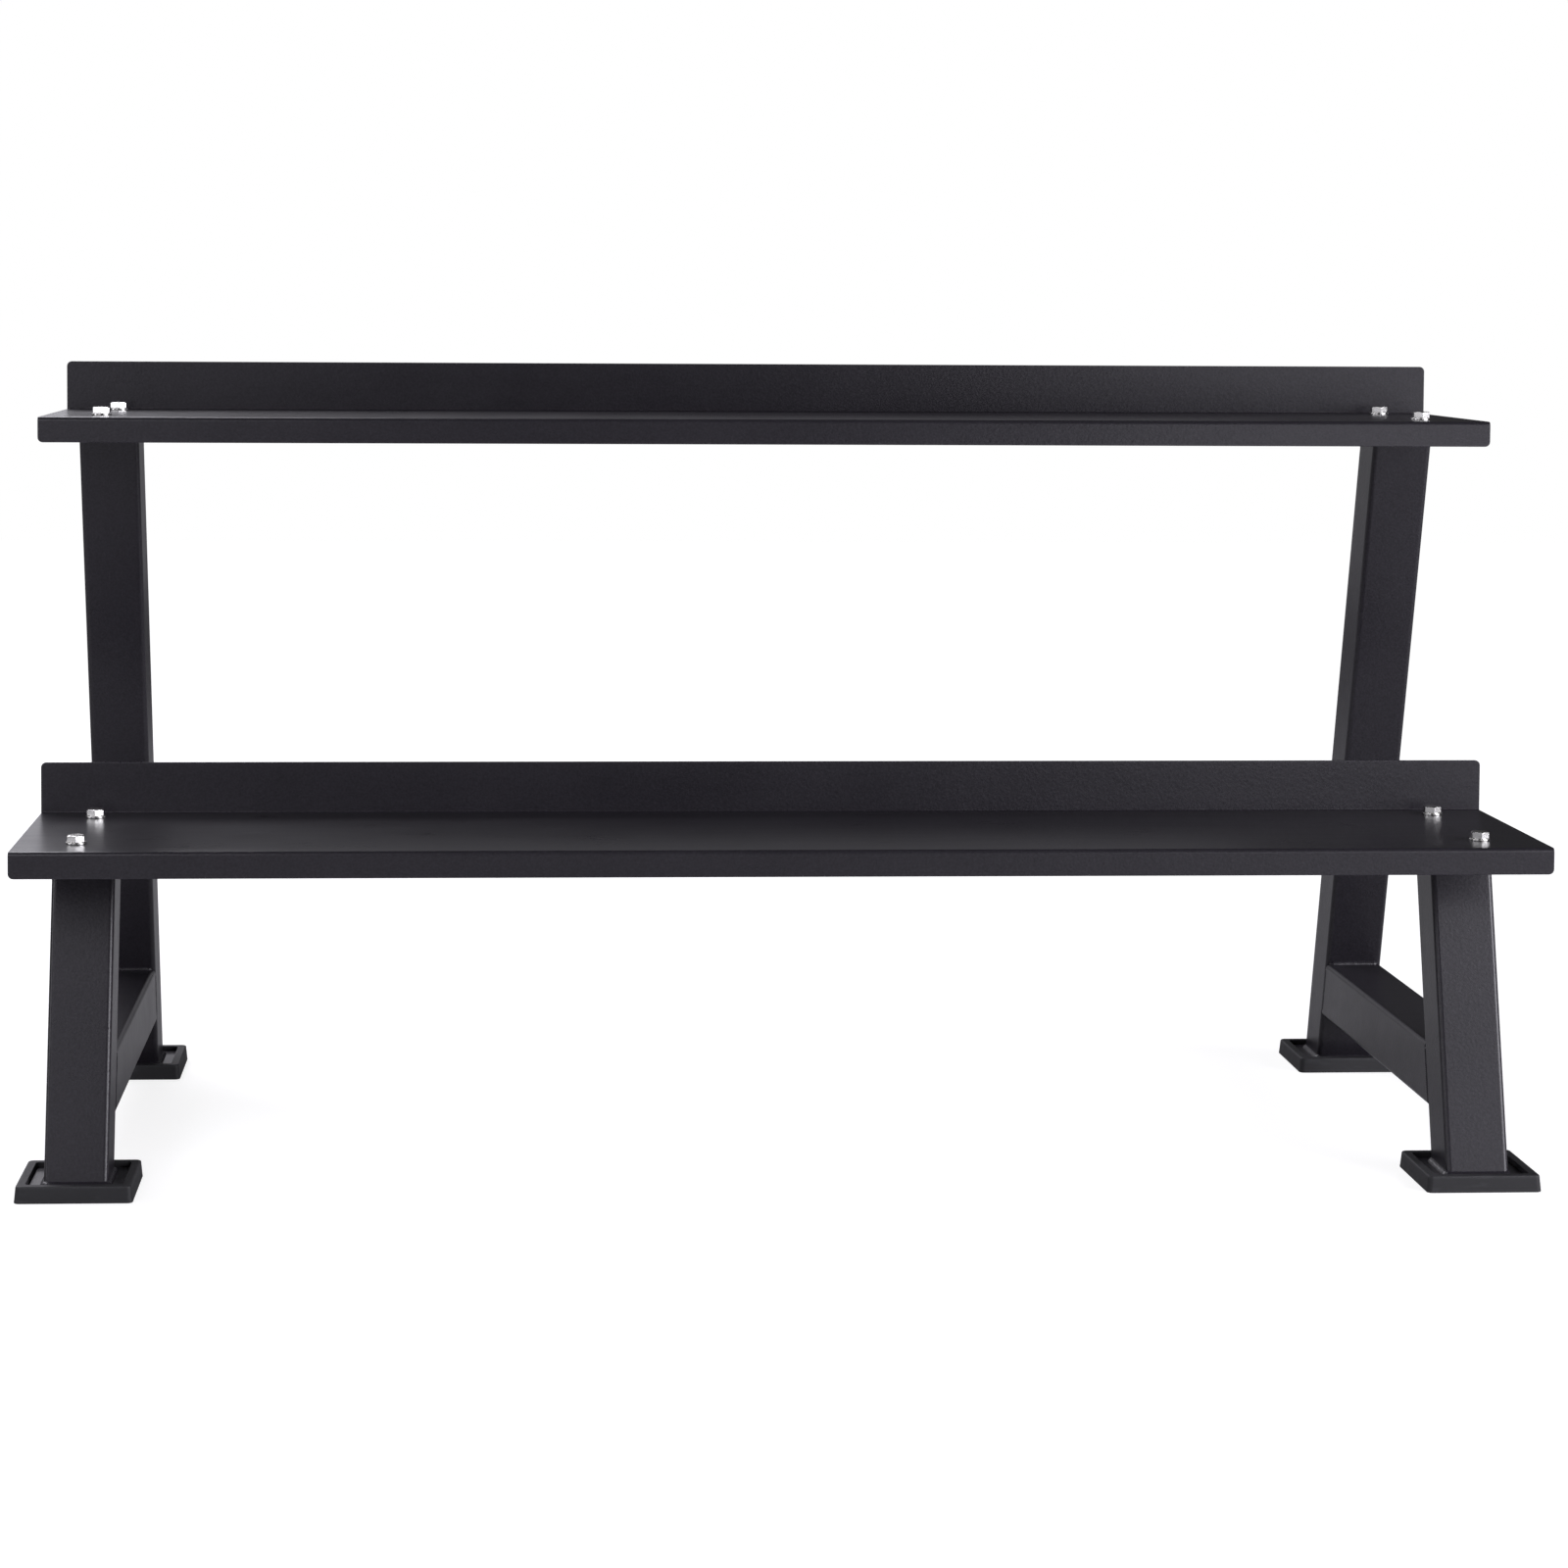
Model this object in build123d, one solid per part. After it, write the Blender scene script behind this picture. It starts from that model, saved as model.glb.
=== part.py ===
from build123d import *
import math
import os

# Two-tier dumbbell rack with flat steel shelves. Two welded side frames of square tube, each
# a short front leg and a long rear post leaning towards each other and joined low down by a
# stretcher, carry two folded sheet shelves on bolted bracket plates and stand in rubber feet.
# Millimetres. +Z is up and the front faces -Y. The origin is on the floor, under the middle
# of the rack's length and depth. Sizes named FROM_FRONT run back from the front edge.

# Overall
RACK_LENGTH = 1440.0
RACK_DEPTH = 665.0
LOWER_DECK_TOP = 330.0
UPPER_DECK_TOP = 722.0
UPPER_SHELF_FROM_FRONT = 244.0

# Shelves, one folded sheet each
SHEET = 3.0
DECK_DEPTH = 264.0
LIP_HEIGHT = 25.0
UPSTAND_HEIGHT = 50.0
OUTSIDE_BEND = 4.0
SHEET_CORNER = 5.0

# Side frames
TUBE = 60.0
TUBE_WALL = 2.5
TUBE_CORNER = 5.0
FRAME_INSET = 57.0
FRONT_FOOT_FROM_FRONT = 68.0
FRONT_LEG_TOP_FROM_FRONT = 152.0
REAR_FOOT_FROM_FRONT = 610.0
REAR_POST_TOP_FROM_FRONT = 393.0
STRETCHER_MIDDLE_HEIGHT = 91.5

# Bracket plates under the shelves
BRACKET_THICKNESS = 6.0
BRACKET_LENGTH = 215.0
BRACKET_CORNER = 4.0
FRONT_BOLT_FROM_EDGE = 53.0
REAR_BOLT_FROM_EDGE = 228.0
BOLT_HOLE = 11.0

# Feet
FOOT_SIDE = 110.0
FOOT_HEIGHT = 16.0
FOOT_DRAFT = 1.5
FOOT_CORNER = 5.0
FOOT_EDGE_ROUND = 1.5
RECESS_SIDE = 90.0
RECESS_FLOOR = 6.0
RECESS_CORNER = 4.0
FOOT_PLATE_SIDE = 88.0
FOOT_PLATE_THICKNESS = 5.0
FOOT_PLATE_CORNER = 3.0

# M10 fasteners
BOLT_DIAMETER = 10.0
BOLT_LENGTH = 25.0
SHANK_CHAMFER = 1.0
HEAD_FLATS = 16.0
HEAD_HEIGHT = 6.4
HEAD_TURN = 30.0
NUT_HEIGHT = 8.0
WASHER_DIAMETER = 20.0
WASHER_HOLE = 10.5
WASHER_THICKNESS = 2.0
HEX_CHAMFER_ANGLE = 30.0

# Weld beads
FILLET_WELD = 4.0
FILLET_WELD_SLOPE = 40.0
SEAM_WELD_RADIUS = 4.0
SEAM_WELD_PROUD = 0.8

# Longer than anything that is drilled
DRILL_LENGTH = 50.0

# Worked out from the sizes above
FRONT_Y = -RACK_DEPTH / 2
FRAME_X = RACK_LENGTH / 2 - FRAME_INSET
TUBE_BOTTOM = RECESS_FLOOR + FOOT_PLATE_THICKNESS
LOWER_TUBE_TOP = LOWER_DECK_TOP - SHEET - BRACKET_THICKNESS
UPPER_TUBE_TOP = UPPER_DECK_TOP - SHEET - BRACKET_THICKNESS
SIDES = {"left": -FRAME_X, "right": FRAME_X}
SHELVES = {
    "lower": (FRONT_Y, LOWER_DECK_TOP),
    "upper": (FRONT_Y + UPPER_SHELF_FROM_FRONT, UPPER_DECK_TOP),
}


def write(name, *solids):
    """One STEP file per node. A group of like pieces stays a group of separate solids."""
    node = solids[0] if len(solids) == 1 else Compound(children=list(solids))
    node.label = name
    export_step(node, f"parts/{name}.step")


def round_corner(face, corner, radius):
    """The face with the corner nearest to a point rounded."""
    nearest = face.vertices().sort_by_distance(Vector(*corner))[0]
    return fillet(nearest, radius)


def shelf(front, deck_top):
    """A deck with a lip folded down along its front and an upstand folded up at its back."""
    back = front + DECK_DEPTH
    deck_bottom = deck_top - SHEET
    lip_bottom = deck_top - LIP_HEIGHT
    upstand_top = deck_top + UPSTAND_HEIGHT
    outline = Polyline(
        (0, front, lip_bottom),
        (0, front, deck_top),
        (0, back - SHEET, deck_top),
        (0, back - SHEET, upstand_top),
        (0, back, upstand_top),
        (0, back, deck_bottom),
        (0, front + SHEET, deck_bottom),
        (0, front + SHEET, lip_bottom),
        close=True,
    )
    section = make_face(outline)
    inside_bend = OUTSIDE_BEND - SHEET
    section = round_corner(section, (0, front, deck_top), OUTSIDE_BEND)
    section = round_corner(section, (0, front + SHEET, deck_bottom), inside_bend)
    section = round_corner(section, (0, back - SHEET, deck_top), inside_bend)
    section = round_corner(section, (0, back, deck_bottom), OUTSIDE_BEND)
    sheet = extrude(section, RACK_LENGTH / 2, both=True, dir=(1, 0, 0))
    corners = sheet.edges().filter_by(Axis.Y)
    corners = corners.filter_by(lambda edge: edge.length < 2 * SHEET)
    sheet = fillet(corners, SHEET_CORNER)
    for hole in bolt_places(front, deck_top):
        sheet -= Pos(*hole) * Cylinder(BOLT_HOLE / 2, DRILL_LENGTH)
    return sheet


def bolt_places(front, height):
    """The four bolt centres of a shelf, at one height."""
    from_edge = (FRONT_BOLT_FROM_EDGE, REAR_BOLT_FROM_EDGE)
    return [(x, front + y, height) for x in SIDES.values() for y in from_edge]


class LeaningTube:
    """A square tube in a side frame whose middle line leans in the YZ plane."""

    def __init__(self, x, bottom_from_front, top_from_front, top):
        self.start = Vector(x, FRONT_Y + bottom_from_front, TUBE_BOTTOM)
        self.end = Vector(x, FRONT_Y + top_from_front, top)
        self.axis = (self.end - self.start).normalized()
        self.lean = math.atan2(self.end.Y - self.start.Y, self.end.Z - self.start.Z)

    def prism(self, side, corner):
        """A solid bar of the tube's line, cut level at both ends."""
        plane = Plane(self.start - self.axis * TUBE, x_dir=(1, 0, 0), z_dir=self.axis)
        length = (self.end - self.start).length + 2 * TUBE
        bar = extrude(plane * RectangleRounded(side, side, corner), length)
        height = self.end.Z - self.start.Z
        middle = (self.start + self.end) * 0.5
        level = Box(2 * TUBE, 2 * RACK_DEPTH, height)
        return bar & Pos(*middle) * level

    def solid(self):
        """The bar without its bore, for cutting welds to fit."""
        return self.prism(TUBE, TUBE_CORNER)

    def hollow(self):
        bore = self.prism(TUBE - 2 * TUBE_WALL, TUBE_CORNER - TUBE_WALL)
        return self.solid() - bore

    def middle_at(self, height):
        """The point of the middle line at a height."""
        share = (height - self.start.Z) / (self.end.Z - self.start.Z)
        return self.start + (self.end - self.start) * share

    def face_plane(self, facing):
        """The plane of the tube's front face (-1) or back face (1), looking outwards."""
        normal = Vector(0, math.cos(self.lean), -math.sin(self.lean)) * facing
        point = self.middle_at(STRETCHER_MIDDLE_HEIGHT) + Vector(0, facing * self.depth() / 2, 0)
        return Plane(point, x_dir=(1, 0, 0), z_dir=normal)

    def depth(self):
        """How much of Y a level cut through the tube takes."""
        return TUBE / math.cos(self.lean)


def stretcher_prism(leg, post, side, corner):
    """A level bar from the leg's back face to the post's front face."""
    start = Plane((leg.start.X, FRONT_Y, STRETCHER_MIDDLE_HEIGHT), x_dir=(1, 0, 0), z_dir=(0, 1, 0))
    bar = extrude(start * RectangleRounded(side, side, corner), RACK_DEPTH)
    bar = split(bar, leg.face_plane(1), keep=Keep.TOP)
    return split(bar, post.face_plane(-1), keep=Keep.TOP)


def bracket(x, front, deck_top):
    """The plate on top of a leg or post that a shelf end is bolted down to."""
    middle = front + (FRONT_BOLT_FROM_EDGE + REAR_BOLT_FROM_EDGE) / 2
    outline = Pos(x, middle, deck_top - SHEET - BRACKET_THICKNESS) * RectangleRounded(
        TUBE, BRACKET_LENGTH, BRACKET_CORNER
    )
    plate = extrude(outline, BRACKET_THICKNESS)
    for hole in bolt_places(front, deck_top):
        plate -= Pos(*hole) * Cylinder(BOLT_HOLE / 2, DRILL_LENGTH)
    return plate


def foot_plate(x, y):
    """The steel plate welded across the bottom of a leg or post."""
    outline = Pos(x, y, RECESS_FLOOR) * RectangleRounded(
        FOOT_PLATE_SIDE, FOOT_PLATE_SIDE, FOOT_PLATE_CORNER
    )
    return extrude(outline, FOOT_PLATE_THICKNESS)


def rubber_foot(x, y):
    """A shallow rubber tray with drafted sides, which the foot plate sits in."""
    draft = math.degrees(math.atan2(FOOT_DRAFT, FOOT_HEIGHT))
    base = RectangleRounded(FOOT_SIDE, FOOT_SIDE, FOOT_CORNER)
    block = extrude(base, FOOT_HEIGHT, taper=draft)
    block = fillet(block.faces().sort_by(Axis.Z)[-1].edges(), FOOT_EDGE_ROUND)
    recess = Pos(0, 0, RECESS_FLOOR) * RectangleRounded(RECESS_SIDE, RECESS_SIDE, RECESS_CORNER)
    return Pos(x, y, 0) * (block - extrude(recess, FOOT_HEIGHT))


def hexagon(height, chamfer_top, chamfer_bottom):
    """A hexagonal prism standing on Z = 0 with its corners turned off to a cone."""
    corner_radius = HEAD_FLATS / math.sqrt(3)
    prism = extrude(RegularPolygon(corner_radius, 6), height)
    drop = (corner_radius - HEAD_FLATS / 2) * math.tan(math.radians(HEX_CHAMFER_ANGLE))
    outline = [(0, 0)]
    if chamfer_bottom:
        outline += [(HEAD_FLATS / 2, 0), (corner_radius, drop)]
    else:
        outline += [(corner_radius, 0)]
    if chamfer_top:
        outline += [(corner_radius, height - drop), (HEAD_FLATS / 2, height)]
    else:
        outline += [(corner_radius, height)]
    outline.append((0, height))
    turned = revolve(Plane.XZ * make_face(Polyline(*outline, close=True)), Axis.Z)
    return Rot(0, 0, HEAD_TURN) * (prism & turned)


def bolt():
    """A hexagon bolt whose head stands on Z = 0 with its shank below."""
    shank = Pos(0, 0, -BOLT_LENGTH / 2) * Cylinder(BOLT_DIAMETER / 2, BOLT_LENGTH)
    shank = chamfer(shank.edges().sort_by(Axis.Z)[0], SHANK_CHAMFER)
    return hexagon(HEAD_HEIGHT, True, False) + shank


def nut():
    bore = Cylinder(BOLT_DIAMETER / 2, DRILL_LENGTH)
    return hexagon(NUT_HEIGHT, True, True) - bore


def washer():
    ring = Circle(WASHER_DIAMETER / 2) - Circle(WASHER_HOLE / 2)
    return extrude(ring, WASHER_THICKNESS)


def ring_weld(tube, height, upwards):
    """The fillet bead around a tube where it stands on a plate or meets one above it."""
    middle = tube.middle_at(height)
    outline = Pos(*middle) * RectangleRounded(
        TUBE + 2 * FILLET_WELD,
        tube.depth() + 2 * FILLET_WELD,
        TUBE_CORNER + FILLET_WELD,
    )
    bead = extrude(outline, FILLET_WELD if upwards else -FILLET_WELD, taper=FILLET_WELD_SLOPE)
    return bead - tube.solid()


def stretcher_welds(tube, facing, bar):
    """The beads where the stretcher meets one face of a leg or post."""
    plane = tube.face_plane(facing)
    depth = tube.depth()
    beads = []
    for end in (-1, 1):
        line = Plane(plane.origin, x_dir=plane.y_dir, z_dir=(1, 0, 0))
        rod = extrude(
            line * Pos(end * depth / 2, 0) * Circle(FILLET_WELD),
            TUBE / 2 - TUBE_CORNER,
            both=True,
        )
        beads.append(rod)
    for side in (-1, 1):
        line = Plane(plane.origin, x_dir=(1, 0, 0), z_dir=plane.y_dir)
        middle = side * (TUBE / 2 - SEAM_WELD_RADIUS + SEAM_WELD_PROUD)
        rod = extrude(
            line * Pos(middle, 0) * Circle(SEAM_WELD_RADIUS),
            depth / 2 - TUBE_CORNER,
            both=True,
        )
        beads.append(rod)
    return [bead - tube.solid() - bar for bead in beads]


def side_frame(side, x):
    """One welded frame with its plates, beads and rubber feet."""
    leg = LeaningTube(x, FRONT_FOOT_FROM_FRONT, FRONT_LEG_TOP_FROM_FRONT, LOWER_TUBE_TOP)
    post = LeaningTube(x, REAR_FOOT_FROM_FRONT, REAR_POST_TOP_FROM_FRONT, UPPER_TUBE_TOP)
    bar = stretcher_prism(leg, post, TUBE, TUBE_CORNER)
    bore = stretcher_prism(leg, post, TUBE - 2 * TUBE_WALL, TUBE_CORNER - TUBE_WALL)
    write(f"{side}_front_leg", leg.hollow())
    write(f"{side}_rear_post", post.hollow())
    write(f"{side}_stretcher", bar - bore)
    for place, tube in (("front", leg), ("rear", post)):
        write(f"{side}_{place}_foot_plate", foot_plate(x, tube.start.Y))
        write(f"{side}_{place}_rubber_foot", rubber_foot(x, tube.start.Y))
    for level, (front, deck_top) in SHELVES.items():
        write(f"{side}_{level}_bracket", bracket(x, front, deck_top))
    beads = []
    for tube in (leg, post):
        beads.append(ring_weld(tube, tube.start.Z, True))
        beads.append(ring_weld(tube, tube.end.Z, False))
    beads += stretcher_welds(leg, 1, bar)
    beads += stretcher_welds(post, -1, bar)
    write(f"{side}_frame_welds", *[bead.solid() for bead in beads])


def bolted_shelf(level, front, deck_top):
    """A shelf with the four bolts, nuts and washers that hold it to the side frames."""
    write(f"{level}_shelf", shelf(front, deck_top))
    plate_bottom = deck_top - SHEET - BRACKET_THICKNESS
    nut_top = plate_bottom - WASHER_THICKNESS
    groups = (
        ("top_washers", washer(), deck_top),
        ("bolts", bolt(), deck_top + WASHER_THICKNESS),
        ("under_washers", washer(), nut_top),
        ("nuts", nut(), nut_top - NUT_HEIGHT),
    )
    for name, piece, height in groups:
        places = bolt_places(front, height)
        write(f"{level}_{name}", *[Pos(*place) * piece for place in places])


os.makedirs("parts", exist_ok=True)
for side_name, side_x in SIDES.items():
    side_frame(side_name, side_x)
for level_name, (shelf_front, shelf_top) in SHELVES.items():
    bolted_shelf(level_name, shelf_front, shelf_top)
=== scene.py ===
"""Two-tier dumbbell rack: the detailed pieces, finishes and stage round its packed frame.

Everything is in metres in the frame's own axes: +Z is up and the front faces -Y.
"""

import math

import bmesh
import bpy
from bpy.props import FloatProperty, FloatVectorProperty, PointerProperty
from mathutils import Matrix, Vector, noise
from mathutils.geometry import tessellate_polygon


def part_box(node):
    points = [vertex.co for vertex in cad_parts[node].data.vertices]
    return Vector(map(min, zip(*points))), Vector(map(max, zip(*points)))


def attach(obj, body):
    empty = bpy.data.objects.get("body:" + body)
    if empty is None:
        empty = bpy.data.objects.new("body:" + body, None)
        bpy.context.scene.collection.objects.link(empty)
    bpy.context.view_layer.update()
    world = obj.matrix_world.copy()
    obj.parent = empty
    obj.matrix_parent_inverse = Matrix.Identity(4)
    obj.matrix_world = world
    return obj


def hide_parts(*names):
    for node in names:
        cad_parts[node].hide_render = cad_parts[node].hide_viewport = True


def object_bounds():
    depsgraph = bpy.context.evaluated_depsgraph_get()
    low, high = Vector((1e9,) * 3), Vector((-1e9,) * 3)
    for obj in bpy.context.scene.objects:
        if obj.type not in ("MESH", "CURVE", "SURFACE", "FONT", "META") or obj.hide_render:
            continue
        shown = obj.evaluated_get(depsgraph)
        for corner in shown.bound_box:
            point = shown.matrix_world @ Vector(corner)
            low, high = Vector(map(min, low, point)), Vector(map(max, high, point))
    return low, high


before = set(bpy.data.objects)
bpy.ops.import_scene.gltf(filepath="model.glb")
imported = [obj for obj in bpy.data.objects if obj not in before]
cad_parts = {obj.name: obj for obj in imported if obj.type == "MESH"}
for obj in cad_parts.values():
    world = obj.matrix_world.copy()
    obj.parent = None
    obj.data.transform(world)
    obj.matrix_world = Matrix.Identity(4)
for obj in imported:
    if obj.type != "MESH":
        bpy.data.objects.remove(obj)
CAD_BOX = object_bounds()

bl_info = {
    "name": "Dumbbell Rack",
    "version": (1, 0, 0),
    "blender": (4, 5, 0),
    "location": "3D View > Sidebar > Dumbbell Rack",
    "description": "Two-tier rack of powder coated steel with zinc plated bolts and rubber feet",
    "category": "Object",
}

BODY = "root"
SIDES = ("left", "right")
LEVELS = ("lower", "upper")
MM = 0.001
WHITE = (1, 1, 1)
SHARP_ANGLE = math.radians(42)
HOLE_SIDES = 32
TUBE_CORNER_STEPS = 7

# Wear and painted highlight on rounded edges: how far in they start, and how much there is where
# the rounding ends
UNMARKED_FROM_EDGE = 0.9 * MM
EDGE_FOOT_WEAR_AND_HIGHLIGHT = 0.7

# Bolt heads and nuts: rounding between flats and of their rims, and the cone that turns the
# corners off, which starts at a share of the width across flats
HEXAGON_CORNER = 0.35 * MM
HEXAGON_EDGE = 0.12 * MM
TURNED_SHARE = 0.475
TURNED_ANGLE = math.radians(30)
# The washer face under a bolt head, and the dish in its top: share of the reach, and depth
WASHER_FACE = 0.4 * MM
HEAD_DISH = ((0.86, 0.02 * MM), (0.72, 0.25 * MM))
# A nut's bore, its wider mouth, and the bevel between them
NUT_BORE = 4.9 * MM
NUT_MOUTH = 5.45 * MM
NUT_BEVEL = 0.6 * MM
WASHER_EDGE = 0.35 * MM

# Screw thread: rings for each turn, points round it, depth as a share of the pitch, tip chamfer
THREAD_RINGS = 8
THREAD_SIDES = 36
THREAD_DEPTH = 0.58
THREAD_TIP = 1.0 * MM

# A foot's soft edges, and how far from its edges the rubbing has faded: underneath, up the
# side, down from the rim, and on the rim
FOOT_EDGE = 0.7 * MM
FADE_UNDER = 3 * MM
FADE_UP = 4 * MM
FADE_DOWN = 2 * MM
FADE_RIM = 1.2 * MM

# Weld beads: parts across, distance between rings, parts along a tube's corner and its side,
# how far they lap onto a tube's round corner, and an upright seam's reach and overhang
BEAD_PARTS = 8
BEAD_STEP = 0.5 * MM
BEAD_CORNER = 16
BEAD_SIDE = 110
BEAD_LAP = 1.5 * MM
SEAM_REACH = 4.0 * MM
SEAM_OVERHANG = 0.8 * MM

FLOOR_REACH = 9.0


# Settings


def length_setting(name, description, millimetres):
    """A setting that is a length."""
    return FloatProperty(
        name=name,
        description=description,
        default=millimetres * MM,
        unit="LENGTH",
        subtype="DISTANCE",
    )


def colour_setting(name, description, default, brightest=1):
    """A setting that is a colour."""
    return FloatVectorProperty(
        name=name,
        description=description,
        default=default,
        min=0,
        max=brightest,
        size=3,
        subtype="COLOR",
    )


class ShelfSizes(bpy.types.PropertyGroup):
    """Sizes of the folded sheet shelves"""

    sheet: length_setting("Sheet thickness", "Thickness of the folded steel", 3)
    bend: length_setting("Outside bend radius", "Radius of both bends, on their outside", 4)
    corner: length_setting("Corner radius", "Radius of the lip's and the upstand's cut corners", 5)
    hole: length_setting("Bolt hole", "Diameter of the holes for the bolts", 11)


class FrameSizes(bpy.types.PropertyGroup):
    """Sizes of the tubes, plates and welds of the side frames"""

    wall: length_setting("Tube wall", "Wall thickness of the square tube", 2.5)
    tube_corner: length_setting("Tube corner", "Outside corner radius of the square tube", 5)
    bracket_corner: length_setting("Bracket corner", "Corner radius of the bracket plates", 4)
    foot_plate_corner: length_setting("Foot plate corner", "Corner radius of the foot plates", 3)
    edge: length_setting("Cut edge rounding", "How far the coat rounds a sheared edge", 0.5)
    weld: length_setting("Weld size", "Leg length of the weld beads", 3.9)
    ripple: length_setting("Weld ripple", "Distance from one ripple of a bead to the next", 2.1)


class FastenerSizes(bpy.types.PropertyGroup):
    """Sizes of the bolts, nuts and washers"""

    shank: length_setting("Thread diameter", "Outside diameter of the bolt's thread", 10)
    pitch: length_setting("Thread pitch", "Distance from one thread to the next", 1.5)
    flats: length_setting("Across flats", "Width of bolt heads and nuts across their flats", 16)
    washer: length_setting("Washer diameter", "Outside diameter of the washers", 20)
    washer_hole: length_setting("Washer hole", "Diameter of the washers' hole", 10.5)


class FootSizes(bpy.types.PropertyGroup):
    """Sizes of the rubber feet"""

    draft: length_setting("Draft", "How much each side leans in from the floor to the rim", 1.5)
    corner: length_setting("Corner radius", "Corner radius of a foot where it meets the floor", 5)
    edge: length_setting("Rim rounding", "Rounding of the rim's outer edge", 1.5)
    recess: length_setting("Recess", "Width of the square recess that the foot plate lies in", 90)
    recess_corner: length_setting("Recess corner", "Corner radius of the recess", 4)


class FinishColours(bpy.types.PropertyGroup):
    """Colours of the finishes"""

    coat: colour_setting(
        "Powder coat", "Colour of the satin powder coat on the steel", (0.0237, 0.0217, 0.0272)
    )
    zinc: colour_setting(
        "Zinc", "Colour of the bright zinc plating on the fasteners", (0.78, 0.79, 0.80)
    )
    rubber: colour_setting("Rubber", "Colour of the rubber feet", (0.022, 0.022, 0.024))
    floor: colour_setting("Floor", "Colour of the floor", (0.5, 0.5, 0.5))
    lamps: colour_setting(
        "Lamps", "Colour of the studio lamps", (0.985, 0.97, 1.045), brightest=2
    )


class StageSettings(bpy.types.PropertyGroup):
    """Where the camera stands, and how bright the room is"""

    lens: FloatProperty(
        name="Focal length",
        description="Focal length of the camera, in millimetres",
        default=84.375,
        min=10,
        max=300,
    )
    camera_place: FloatVectorProperty(
        name="Camera place",
        description="Where the camera stands",
        default=(-0.2895, -3.7086, 0.8393),
        size=3,
        subtype="TRANSLATION",
    )
    camera_turn: FloatVectorProperty(
        name="Camera turn",
        description="How far the camera looks down, turns to its right, and rolls",
        default=(math.radians(3.143), math.radians(3.06), math.radians(0.298)),
        size=3,
        subtype="EULER",
    )
    camera_shift: FloatVectorProperty(
        name="Camera shift",
        description="Shift of the picture to the side and upwards, as a share of its width",
        default=(0.07, -0.18),
        size=2,
    )
    room: FloatProperty(
        name="Room light",
        description="Strength of the light from all round",
        default=0.04,
        min=0,
    )


# Shader maths


class Wire:
    """An output of a node, for use in arithmetic: an expression on wires adds the nodes for it."""

    def __init__(self, wiring, socket):
        self.wiring = wiring
        self.socket = socket

    def combined(self, operation, first, second):
        """Math for values, Vector Math for colours and vectors."""
        kind = "ShaderNodeMath" if self.socket.type == "VALUE" else "ShaderNodeVectorMath"
        return self.wiring.node(kind, {"operation": operation}, {0: first, 1: second})

    def __add__(self, other):
        return self.combined("ADD", self, other)

    def __radd__(self, other):
        return self.combined("ADD", other, self)

    def __sub__(self, other):
        return self.combined("SUBTRACT", self, other)

    def __rsub__(self, other):
        return self.combined("SUBTRACT", other, self)

    def __mul__(self, other):
        return self.combined("MULTIPLY", self, other)

    def __rmul__(self, other):
        return self.combined("MULTIPLY", other, self)


class Wiring:
    """A node tree being wired up."""

    def __init__(self, tree):
        self.tree = tree
        tree.nodes.clear()

    def node(self, kind, settings=None, sockets=None, output=0):
        """Adds a node of any kind: its settings first, then its sockets' values or wires."""
        node = self.tree.nodes.new(kind)
        for name, value in (settings or {}).items():
            setattr(node, name, value)
        for key, value in (sockets or {}).items():
            self.set_socket(node.inputs[key], value)
        return Wire(self, node.outputs[output]) if node.outputs else node

    def set_socket(self, socket, value):
        """Links a wire, or sets a value."""
        if isinstance(value, Wire):
            self.tree.links.new(value.socket, socket)
        elif socket.type == "RGBA":
            socket.default_value = (*value, 1)
        elif socket.type == "VECTOR" and not hasattr(value, "__len__"):
            socket.default_value = (value, value, value)
        else:
            socket.default_value = value


class Finish(Wiring):
    """A material being wired up, with one Principled shader."""

    def __init__(self, name):
        self.material = bpy.data.materials.new(name)
        self.material.use_nodes = True
        super().__init__(self.material.node_tree)
        self.place = self.node("ShaderNodeTexCoord", output="Object")

    def grain(self, size, detail=2.0, roughness=0.5, seed=0.0, stretch=(1, 1, 1)):
        """Noise from 0 to 1 whose blotches are about size metres across."""
        place = self.place * tuple(stretch) + seed
        return self.node(
            "ShaderNodeTexNoise",
            {"noise_dimensions": "3D"},
            {"Vector": place, "Scale": 1 / size, "Detail": detail, "Roughness": roughness},
        )

    def ramp(self, value, low, high):
        """0 where value is at or under low, 1 where it is at or over high, smooth between."""
        return self.node(
            "ShaderNodeMapRange",
            {"interpolation_type": "SMOOTHSTEP"},
            {"Value": value, "From Min": low, "From Max": high},
        )

    def blend(self, share, first, second):
        """A colour that goes from first to second as share goes from 0 to 1."""
        return self.node(
            "ShaderNodeMix",
            {"data_type": "RGBA"},
            {"Factor": share, 6: first, 7: second},
            output=2,
        )

    def attribute(self, name):
        """A value that the mesh holds at its points."""
        return self.node("ShaderNodeAttribute", {"attribute_name": name}, output="Fac")

    def bump(self, height, depth, under=None):
        """A normal from a height between 0 and 1, with depth in metres."""
        sockets = {"Height": height, "Distance": depth, "Strength": 1.0}
        if under:
            sockets["Normal"] = under
        return self.node("ShaderNodeBump", sockets=sockets)

    def surface(self, sockets):
        """Closes the material with its Principled shader."""
        shader = self.node("ShaderNodeBsdfPrincipled", sockets=sockets)
        self.node("ShaderNodeOutputMaterial", sockets={"Surface": shader})
        return self.material


def shade(colour, share):
    """A colour made lighter or darker by a share."""
    return tuple(channel * share for channel in colour)


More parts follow.
